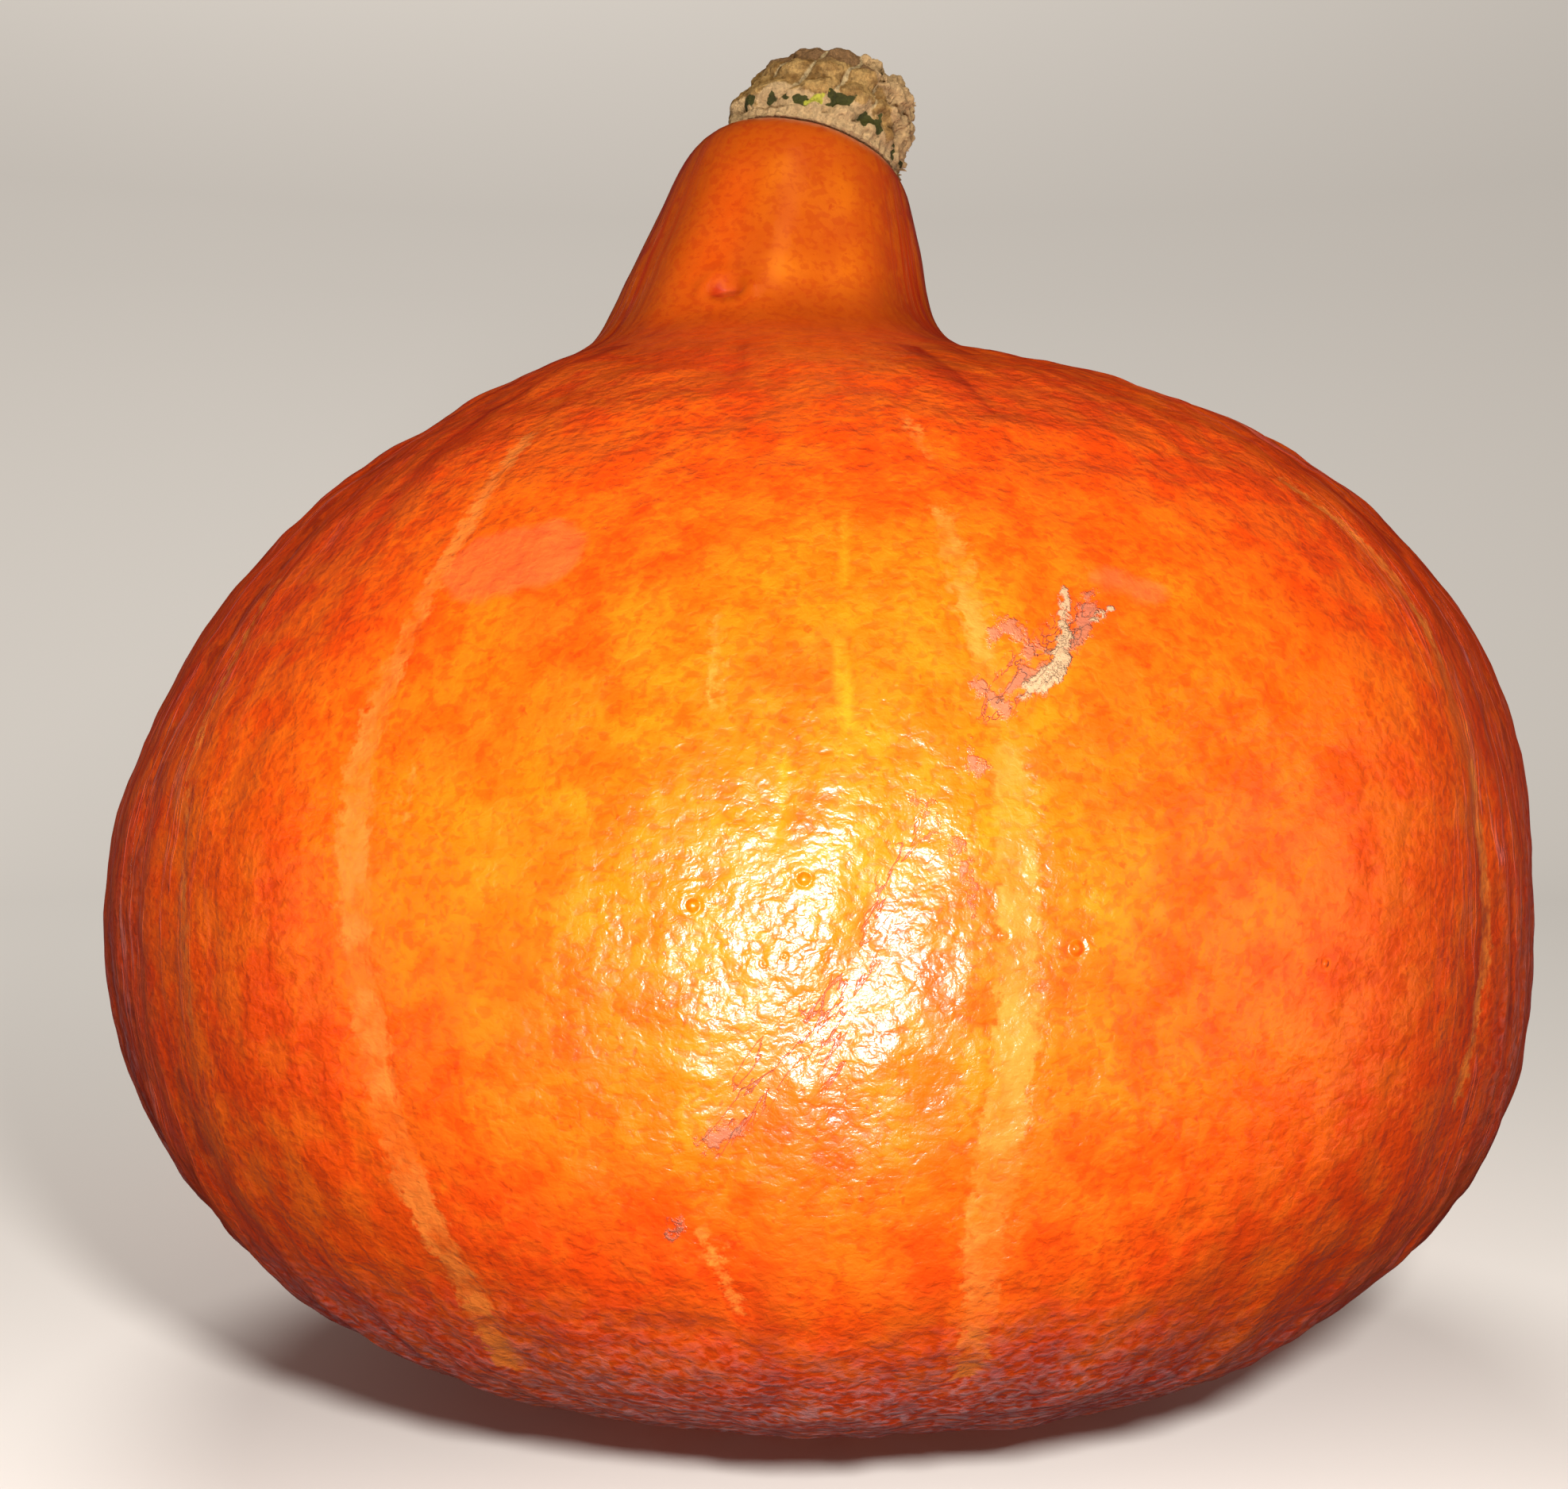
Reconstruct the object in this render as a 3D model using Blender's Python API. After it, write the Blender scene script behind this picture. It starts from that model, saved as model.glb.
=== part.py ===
"""Red kuri (onion squash) pumpkin: a grown fruit and the dry stem stub on its crown.

Metres, +Z up. The fruit stands on the small flat spot at its blossom end and the
stem is at the top. The origin is the centre of the bounding box's bottom face.
"""

import math

import bmesh
import bpy
from mathutils import Vector

# --- fruit: lower half ------------------------------------------------------
BELLY_RADIUS = 0.088        # widest part of the fruit
LOWER_HEIGHT = 0.0605       # belly plane down to where the curve would close
LOWER_FULLNESS = 2.40       # exponent of the lower curve, 2 is an ellipse
FOOT_RADIUS = 0.018         # flat spot at the blossom end

# --- fruit: shoulder, neck and crown ----------------------------------------
SHOULDER_HEIGHT = 0.0706    # belly plane up to where the curve would close
SHOULDER_FULLNESS = 2.15    # exponent of the shoulder curve
SHOULDER_END_RADIUS = 0.0417
NECK_ROOT_RADIUS = 0.0221   # where the hollow under the neck ends
NECK_ROOT_RISE = 0.0089     # above the end of the shoulder curve
CREASE_EASE = 0.5           # 1 rounds the hollow under the neck, 0 makes it sharp
NECK_TOP_RADIUS = 0.0154
NECK_TOP_RISE = 0.0176      # above the neck root
CROWN_RISE = 0.0056         # above the neck top, up to the stem's seat
CROWN_EDGE_SLOPE = math.radians(17.0)  # how steeply the crown meets the seat
SEAT_RADIUS = 0.0116        # flat scar that the stem grows from

# --- fruit: how it has grown out of true -------------------------------------
LOWER_DRIFT = 0.0006       # sideways shift of the lower half
SHOULDER_DRIFT = 0.0028
NECK_ROOT_DRIFT = -0.0062
NECK_TOP_DRIFT = -0.0029
SEAT_DRIFT = -0.0014
DRIFT_REACHED = 0.7         # shares of the shoulder's rise between which
DRIFT_HELD_TO = 0.9         # the shoulder keeps its full sideways shift
FURROW_COUNT = 10           # a squash fruit has ten shallow lengthwise furrows
FURROW_DEPTH = 0.0007

# --- stem stub ---------------------------------------------------------------
STEM_SWELL = 0.0006         # the corky ring stands out beyond the seat
STEM_RING_RISE = 0.0010     # height over which it swells
STEM_HEIGHT = 0.0138        # seat up to where the rounded top would close
STEM_CUT_HEIGHT = 0.0124    # seat up to the broken end
STEM_FULLNESS = 2.4
STEM_DRIFT = 0.0022         # sideways lean of the broken end
RIB_COUNT = 10
RIB_DEPTH = 0.0004
SEAT_TILT_SIDE = math.radians(12.0)   # the seat faces a little to +X
SEAT_TILT_BACK = math.radians(13.0)   # and a little to +Y

# --- shared ------------------------------------------------------------------
GAP = 0.0003                # clear space between the fruit and the stem
FRUIT_SEGMENTS = 80
LOWER_RINGS = 16
SHOULDER_RINGS = 14
HOLLOW_RINGS = 9
CROWN_RINGS = 7
STEM_SEGMENTS = 60
CORK_RING_STEPS = 3
BARK_STEPS = 9


def clear_scene():
    """Remove whatever objects the file opened with."""
    for obj in list(bpy.data.objects):
        bpy.data.objects.remove(obj, do_unlink=True)


def make_material(name, colour, roughness):
    """Return a Principled material with one flat colour."""
    material = bpy.data.materials.new(name)
    material.use_nodes = True
    shader = material.node_tree.nodes["Principled BSDF"]
    shader.inputs["Base Color"].default_value = (*colour, 1.0)
    shader.inputs["Roughness"].default_value = roughness
    shader.inputs["Metallic"].default_value = 0.0
    material.diffuse_color = (*colour, 1.0)
    return material


def ease(start, end, value):
    """Rise smoothly from 0 to 1 while value goes from start to end."""
    share = min(max((value - start) / (end - start), 0.0), 1.0)
    return share * share * (3.0 - 2.0 * share)


def bend(p0, slope0, p1, slope1, count):
    """Points of a cubic curve between two points with given end slopes."""
    points = []
    for step in range(1, count + 1):
        t = step / count
        a = 2.0 * t**3 - 3.0 * t**2 + 1.0
        b = t**3 - 2.0 * t**2 + t
        c = 3.0 * t**2 - 2.0 * t**3
        d = t**3 - t**2
        points.append(p0 * a + slope0 * b + p1 * c + slope1 * d)
    return points


def shoulder_end_height():
    """Height above the belly plane where the shoulder curve hands over."""
    inner = 1.0 - (SHOULDER_END_RADIUS / BELLY_RADIUS) ** SHOULDER_FULLNESS
    return SHOULDER_HEIGHT * inner ** (1.0 / SHOULDER_FULLNESS)


def foot_angle():
    """Angle on the lower curve at which its radius is the foot's."""
    return math.asin((FOOT_RADIUS / BELLY_RADIUS) ** (LOWER_FULLNESS / 2.0))


def foot_height():
    """Height of the flat spot relative to the belly plane, a negative value."""
    return -LOWER_HEIGHT * math.cos(foot_angle()) ** (2.0 / LOWER_FULLNESS)


def lower_curve(count):
    """Profile points from the foot up to the belly."""
    start = foot_angle()
    points = []
    for step in range(count + 1):
        angle = start + (math.pi / 2.0 - start) * step / count
        radius = BELLY_RADIUS * math.sin(angle) ** (2.0 / LOWER_FULLNESS)
        height = -LOWER_HEIGHT * max(math.cos(angle), 0.0) ** (2.0 / LOWER_FULLNESS)
        points.append(Vector((radius, height)))
    return points


def shoulder_curve(count):
    """Profile points from just above the belly to the end of the shoulder."""
    end = math.acos((SHOULDER_END_RADIUS / BELLY_RADIUS) ** (SHOULDER_FULLNESS / 2.0))
    points = []
    for step in range(1, count + 1):
        angle = end * step / count
        radius = BELLY_RADIUS * math.cos(angle) ** (2.0 / SHOULDER_FULLNESS)
        height = SHOULDER_HEIGHT * math.sin(angle) ** (2.0 / SHOULDER_FULLNESS)
        points.append(Vector((radius, height)))
    return points


def fruit_profile():
    """Radius and height of every ring, from the foot to the edge of the seat."""
    points = lower_curve(LOWER_RINGS) + shoulder_curve(SHOULDER_RINGS)
    leave = (points[-1] - points[-2]).normalized()
    root = Vector((NECK_ROOT_RADIUS, shoulder_end_height() + NECK_ROOT_RISE))
    top = Vector((NECK_TOP_RADIUS, root.y + NECK_TOP_RISE))
    neck_way = (top - root).normalized()
    reach = (root - points[-1]).length
    arrive = neck_way * reach * CREASE_EASE
    points += bend(points[-1], leave * reach, root, arrive, HOLLOW_RINGS)
    points.append(root.lerp(top, 1.0 / 3.0))
    points.append(root.lerp(top, 2.0 / 3.0))
    points.append(top)
    seat = Vector((SEAT_RADIUS, top.y + CROWN_RISE))
    reach = (seat - top).length
    rim_way = Vector((-math.cos(CROWN_EDGE_SLOPE), math.sin(CROWN_EDGE_SLOPE)))
    points += bend(top, neck_way * reach, seat, rim_way * reach, CROWN_RINGS)
    return points


def drift_at(height, seat_height):
    """Sideways shift of the ring at this height above the belly plane."""
    root = shoulder_end_height() + NECK_ROOT_RISE
    knots = [
        (foot_height(), LOWER_DRIFT),
        (foot_height() / 2.0, LOWER_DRIFT),
        (0.0, 0.0),
        (DRIFT_REACHED * shoulder_end_height(), SHOULDER_DRIFT),
        (DRIFT_HELD_TO * shoulder_end_height(), SHOULDER_DRIFT),
        (root, NECK_ROOT_DRIFT),
        (root + NECK_TOP_RISE, NECK_TOP_DRIFT),
        (seat_height, SEAT_DRIFT),
    ]
    for (low, start), (high, end) in zip(knots, knots[1:]):
        if height <= high:
            return start + (end - start) * ease(low, high, height)
    return SEAT_DRIFT


def seat_frame():
    """Centre of the seat and its side, back and normal directions."""
    seat_height = fruit_profile()[-1].y
    centre = Vector((SEAT_DRIFT, 0.0, seat_height))
    side = Vector((1.0, 0.0, -math.tan(SEAT_TILT_SIDE)))
    back = Vector((0.0, 1.0, -math.tan(SEAT_TILT_BACK)))
    normal = side.cross(back).normalized()
    return centre, side, back, normal


def close_rings(mesh, rings):
    """Join equal rings with quads and cap both ends."""
    count = len(rings[0])
    for low, high in zip(rings, rings[1:]):
        for i in range(count):
            j = (i + 1) % count
            mesh.faces.new((low[i], low[j], high[j], high[i]))
    mesh.faces.new(list(reversed(rings[0])))
    mesh.faces.new(rings[-1])


def finish_object(name, mesh, material):
    """Turn the bmesh into a named object with rounded sides shaded smooth."""
    bmesh.ops.recalc_face_normals(mesh, faces=mesh.faces[:])
    data = bpy.data.meshes.new(name)
    for face in mesh.faces:
        face.smooth = len(face.verts) == 4
    mesh.to_mesh(data)
    mesh.free()
    data.materials.append(material)
    obj = bpy.data.objects.new(name, data)
    bpy.context.scene.collection.objects.link(obj)
    return obj


def build_fruit(material):
    """One solid from the flat foot to the seat, with furrows and a leaning neck."""
    profile = fruit_profile()
    seat_height = profile[-1].y
    root_height = shoulder_end_height() + NECK_ROOT_RISE
    mesh = bmesh.new()
    rings = []
    for radius, height in profile:
        shift = drift_at(height, seat_height)
        tilt = ease(root_height, seat_height, height)
        groove = ease(foot_height(), 0.0, height) * (1.0 - tilt) * FURROW_DEPTH
        ring = []
        for i in range(FRUIT_SEGMENTS):
            angle = 2.0 * math.pi * i / FRUIT_SEGMENTS
            r = radius - groove * 0.5 * (1.0 + math.cos(FURROW_COUNT * angle))
            x = r * math.cos(angle)
            y = r * math.sin(angle)
            drop = x * math.tan(SEAT_TILT_SIDE) + y * math.tan(SEAT_TILT_BACK)
            ring.append(mesh.verts.new((x + shift, y, height - drop * tilt)))
        rings.append(ring)
    close_rings(mesh, rings)
    return finish_object("fruit", mesh, material)


def stem_profile():
    """Radius and height of every stem ring above the seat."""
    full = SEAT_RADIUS + STEM_SWELL
    points = [(SEAT_RADIUS, 0.0)]
    for step in range(1, CORK_RING_STEPS + 1):
        share = step / CORK_RING_STEPS
        swell = STEM_SWELL * math.sin(share * math.pi / 2.0)
        points.append((SEAT_RADIUS + swell, STEM_RING_RISE * share))
    for step in range(1, BARK_STEPS + 1):
        bark = STEM_CUT_HEIGHT - STEM_RING_RISE
        height = STEM_RING_RISE + bark * step / BARK_STEPS
        share = (height - STEM_RING_RISE) / (STEM_HEIGHT - STEM_RING_RISE)
        radius = full * (1.0 - share**STEM_FULLNESS) ** (1.0 / STEM_FULLNESS)
        points.append((radius, height))
    return points


def build_stem(material):
    """Ribbed stub standing on the seat, one clearance above it."""
    centre, side, back, normal = seat_frame()
    base = centre + normal * GAP
    mesh = bmesh.new()
    rings = []
    for radius, height in stem_profile():
        lean = STEM_DRIFT * height / STEM_CUT_HEIGHT
        rib = RIB_DEPTH * ease(STEM_RING_RISE, 2.0 * STEM_RING_RISE, height)
        ring = []
        for i in range(STEM_SEGMENTS):
            angle = 2.0 * math.pi * i / STEM_SEGMENTS
            r = radius - rib * 0.5 * (1.0 - math.cos(RIB_COUNT * angle))
            across = side * (r * math.cos(angle) + lean)
            along = back * (r * math.sin(angle))
            ring.append(mesh.verts.new(base + across + along + normal * height))
        rings.append(ring)
    close_rings(mesh, rings)
    return finish_object("stem", mesh, material)


def set_on_origin(objects):
    """Move every mesh so the box of them all stands centred on the origin."""
    corners = [v.co for obj in objects for v in obj.data.vertices]
    low = [min(c[axis] for c in corners) for axis in range(3)]
    high = [max(c[axis] for c in corners) for axis in range(3)]
    shift = Vector((-(low[0] + high[0]) / 2.0, -(low[1] + high[1]) / 2.0, -low[2]))
    for obj in objects:
        for vertex in obj.data.vertices:
            vertex.co += shift


def main():
    """Build the pumpkin."""
    clear_scene()
    rind = make_material("squash_rind", (0.72, 0.16, 0.02), 0.38)
    cork = make_material("dry_stem_cork", (0.26, 0.18, 0.08), 0.85)
    fruit = build_fruit(rind)
    stem = build_stem(cork)
    set_on_origin([fruit, stem])


main()
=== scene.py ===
"""Looks of an onion squash pumpkin: waxy orange rind, dry ribbed stem and a plain studio.

The solid model gives the frame, with +Z up and the viewer at -Y. Lengths are in
metres, apart from the marks, warts, patterns and stem sizes, which are in millimetres.
"""

from __future__ import annotations

import logging
import math
from dataclasses import dataclass, field
from enum import Enum
from functools import partial
from typing import Any

import bmesh
import bpy
import numpy as np
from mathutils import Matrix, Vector, noise
from mathutils.bvhtree import BVHTree


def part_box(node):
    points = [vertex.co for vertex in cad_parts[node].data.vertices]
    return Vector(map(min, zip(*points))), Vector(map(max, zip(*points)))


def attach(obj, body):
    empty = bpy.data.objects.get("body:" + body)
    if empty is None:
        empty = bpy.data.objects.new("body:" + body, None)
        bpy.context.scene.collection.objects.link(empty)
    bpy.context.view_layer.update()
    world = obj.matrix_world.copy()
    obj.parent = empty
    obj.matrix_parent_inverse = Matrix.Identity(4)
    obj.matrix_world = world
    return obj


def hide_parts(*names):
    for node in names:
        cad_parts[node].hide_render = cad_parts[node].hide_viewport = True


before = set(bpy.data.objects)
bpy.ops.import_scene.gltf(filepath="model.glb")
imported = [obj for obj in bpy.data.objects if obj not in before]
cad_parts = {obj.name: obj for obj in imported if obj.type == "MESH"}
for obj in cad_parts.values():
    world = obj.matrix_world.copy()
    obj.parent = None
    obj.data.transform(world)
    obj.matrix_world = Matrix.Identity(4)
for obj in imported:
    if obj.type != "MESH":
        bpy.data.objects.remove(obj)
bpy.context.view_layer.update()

LOG = logging.getLogger("pumpkin")
MM = 0.001
NECK_AXIS = -0.004          # sideways place of the neck's axis
NECK_FROM = 128.0           # marks above this height, in millimetres, lie on the neck
FAR_OUTSIDE = -8.0          # the least that a reach is told apart, in millimetres

NodeTree = bpy.types.NodeTree
Socket = bpy.types.NodeSocket
Sockets = dict[str, Socket]
Triple = tuple[float, float, float]


def linear(hex_code: str) -> tuple[float, float, float, float]:
    """Turn an sRGB hex colour into linear values.

    Args:
        hex_code: Six hex digits, such as "e85510".

    Returns:
        Red, green, blue and an alpha of one.
    """
    parts = [int(hex_code[i:i + 2], 16) / 255.0 for i in (0, 2, 4)]
    curve = [p / 12.92 if p <= 0.04045 else ((p + 0.055) / 1.055) ** 2.4 for p in parts]
    return (curve[0], curve[1], curve[2], 1.0)


def add_node(tree: NodeTree, kind: str, inputs: dict[Any, Any], output: Any = 0, **settings: Any) -> Socket:
    """Add one shader node with its settings, and fill its inputs.

    Args:
        tree: The material's node tree.
        kind: Node type without its "ShaderNode" prefix.
        inputs: A constant or a socket to link, by input name or number.
        output: Name or number of the output that is wanted.
        **settings: Properties of the node.

    Returns:
        The wanted output.
    """
    node = tree.nodes.new("ShaderNode" + kind)
    for name, value in settings.items():
        setattr(node, name, value)
    for key, value in inputs.items():
        if isinstance(value, Socket):
            tree.links.new(value, node.inputs[key])
        else:
            node.inputs[key].default_value = value
    return node.outputs[output]


def ragged(tree: NodeTree, layer: str, pattern: Socket, bite: float, start: float, end: float) -> Socket:
    """Mask of one of the mesh's layers, with its edge eaten away by a pattern.

    Args:
        tree: The material's node tree.
        layer: Name of the layer.
        pattern: Pattern from 0 to 1 that moves the edge.
        bite: How far the pattern moves the edge, in the layer's own unit.
        start: Value of the layer where the mask starts.
        end: Value of the layer where the mask is whole.

    Returns:
        A socket that is 1 inside the mark.
    """
    value = add_node(tree, "Attribute", {}, "Fac", attribute_name=layer)
    shift = add_node(tree, "Math", {0: pattern, 1: bite, 2: -0.5 * bite}, operation="MULTIPLY_ADD")
    moved = add_node(tree, "Math", {0: value, 1: shift}, operation="ADD")
    limits = {"Value": moved, "From Min": start, "From Max": end}
    return add_node(tree, "MapRange", limits, interpolation_type="SMOOTHSTEP")


def ease(low: float, high: float, value: np.ndarray) -> np.ndarray:
    """Rise smoothly from 0 to 1 while value goes from low to high.

    Args:
        low: Where the rise starts.
        high: Where it is complete.
        value: The values to map.

    Returns:
        Values between 0 and 1.
    """
    share = np.clip((value - low) / (high - low), 0.0, 1.0)
    return share * share * (3.0 - 2.0 * share)


def grown_noise(places: np.ndarray, octaves: int = 1) -> np.ndarray:
    """Smooth noise between about -1 and 1 at many places.

    Args:
        places: Rows of x, y, z in noise units, one unit per lump.
        octaves: How many finer layers are summed.

    Returns:
        One value for each row.
    """
    return np.array([noise.fractal(row, 1.0, 2.0, octaves) for row in places.tolist()])


class Mark(Enum):
    """Kinds of mark that the rind carries, by the name of their mesh attribute."""

    STRIPE = "stripe"
    CORK = "cork"
    SCAB = "scab"
    CRACK = "crack"
    BLUSH = "blush"
    RESIN = "resin"


@dataclass(frozen=True)
class Trace:
    """One mark on the rind, drawn along a few places.

    A place is degrees round from the front, positive to the right, and
    millimetres above the surface the squash stands on. Widths are in millimetres, and
    the mark narrows to end_width of its width at both ends.
    """

    half_width: float
    places: tuple[tuple[float, float], ...]
    end_width: float = 0.6


class RindMap:
    """The fruit's solid surface, for finding points on it from inside."""

    def __init__(self, node: str) -> None:
        """Read the node's mesh.

        Args:
            node: Name of the fruit's node.
        """
        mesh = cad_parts[node].data
        corners = [v.co.copy() for v in mesh.vertices]
        faces = [tuple(p.vertices) for p in mesh.polygons]
        self.tree = BVHTree.FromPolygons(corners, faces)
        self.belly = max((math.hypot(c.x, c.y), c.z) for c in corners)[1]

    def hit(self, start: Vector, way: Vector) -> tuple[Vector, Vector]:
        """Point and facing where a ray from inside meets the surface.

        Args:
            start: A point inside the fruit.
            way: The direction to look in.

        Returns:
            The point on the surface and the surface's normal there.
        """
        point, normal, _, _ = self.tree.ray_cast(start, way)
        if point is None:
            raise ValueError(f"no surface from {start} towards {way}")
        return point, normal

    def at(self, degrees: float, height: float, inner_x: float = 0.0) -> Vector:
        """Point on the side at an angle round from the front and a height.

        Args:
            degrees: Angle from the front, positive to the right.
            height: Height above the ground in metres.
            inner_x: Sideways place of the axis at that height.

        Returns:
            The point on the surface.
        """
        turn = math.radians(degrees)
        way = Vector((math.sin(turn), -math.cos(turn), 0.0))
        return self.hit(Vector((inner_x, 0.0, height)), way)[0]


def reach_of(traces: tuple[Trace, ...], rind: RindMap, skin: np.ndarray) -> np.ndarray:
    """How far inside the nearest mark each skin point lies, in millimetres.

    Args:
        traces: The marks of one kind.
        rind: The surface the marks are drawn on.
        skin: Rows of x, y, z of the skin's points in metres.

    Returns:
        Positive inside a mark and negative outside.
    """
    best = np.full(len(skin), FAR_OUTSIDE)
    for trace in traces:
        spots = np.array([rind.at(d, h * MM, NECK_AXIS if h > NECK_FROM else 0.0) for d, h in trace.places])
        swelling = np.sin(math.pi * np.linspace(0.0, 1.0, len(spots)))
        widths = trace.half_width * (trace.end_width + (1.0 - trace.end_width) * swelling)
        for a, b, wide_a, wide_b in zip(spots, spots[1:], widths, widths[1:]):
            run = b - a
            along = np.clip((skin - a) @ run / (run @ run), 0.0, 1.0)
            away = np.linalg.norm(skin - a - along[:, None] * run, axis=1) / MM
            best = np.maximum(best, wide_a + (wide_b - wide_a) * along - away)
    return best


def place(name: str, data: bpy.types.ID) -> bpy.types.Object:
    """Put a new mesh, light or camera into the scene, with a mesh's faces shaded smooth.

    Args:
        name: Name of the new object.
        data: What it shows.

    Returns:
        The new object.
    """
    if isinstance(data, bpy.types.Mesh):
        data.polygons.foreach_set("use_smooth", [True] * len(data.polygons))
    thing = bpy.data.objects.new(name, data)
    bpy.context.scene.collection.objects.link(thing)
    return thing


def mesh_from_rings(name: str, rings: np.ndarray) -> bpy.types.Object:
    """Make one closed, smooth-shaded mesh from a stack of equal rings.

    Args:
        name: Name of the new object.
        rings: Points by ring, place round the ring, and x, y, z.

    Returns:
        The new object, linked to the scene.
    """
    levels, around, _ = rings.shape
    bottom = rings[0].mean(axis=0)
    top = rings[-1].mean(axis=0)
    points = np.vstack([rings.reshape(-1, 3), bottom, top])
    i = np.arange(around)
    j = (i + 1) % around
    base = (np.arange(levels - 1) * around)[:, None]
    quads = np.stack([base + i, base + j, base + around + j, base + around + i], axis=2)
    low_fan = np.stack([np.full(around, levels * around), j, i], axis=1)
    last = (levels - 1) * around
    high_fan = np.stack([np.full(around, levels * around + 1), last + i, last + j], axis=1)
    faces = quads.reshape(-1, 4).tolist() + low_fan.tolist() + high_fan.tolist()
    mesh = bpy.data.meshes.new(name)
    mesh.from_pydata(points.tolist(), [], faces)
    mesh.update()
    return place(name, mesh)


def store(piece: bpy.types.Object, name: str, values: np.ndarray) -> None:
    """Keep one number for each point of a ringed mesh.

    Args:
        piece: The mesh object.
        name: Attribute name that the material reads.
        values: One number per ring point; the two fan centres repeat the ends.
    """
    layer = piece.data.attributes.new(name, "FLOAT", "POINT")
    full = np.concatenate([values, values[:1], values[-1:]])
    layer.data.foreach_set("value", full.astype(np.float32))


def ring_normals(rings: np.ndarray) -> np.ndarray:
    """Outward unit normals of a ringed surface.

    Args:
        rings: Points by ring, place round the ring, and x, y, z.

    Returns:
        Normals in the same layout.
    """
    round_way = np.roll(rings, -1, axis=1) - np.roll(rings, 1, axis=1)
    up_way = np.gradient(rings, axis=0)
    normals = np.cross(round_way, up_way)
    length = np.linalg.norm(normals, axis=2, keepdims=True)
    return normals / np.maximum(length, 1e-12)


def soften(rings: np.ndarray, passes: int) -> np.ndarray:
    """Blend each point with its neighbours so no facet of the solid shows.

    Args:
        rings: Points by ring, place round the ring, and x, y, z.
        passes: How many times to blend.

    Returns:
        The softened points, with the first and last ring kept.
    """
    for _ in range(passes):
        rings = 0.5 * rings + 0.25 * (np.roll(rings, 1, axis=1) + np.roll(rings, -1, axis=1))
        inner = 0.5 * rings[1:-1] + 0.25 * (rings[:-2] + rings[2:])
        rings = np.concatenate([rings[:1], inner, rings[-1:]])
    return rings


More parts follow.
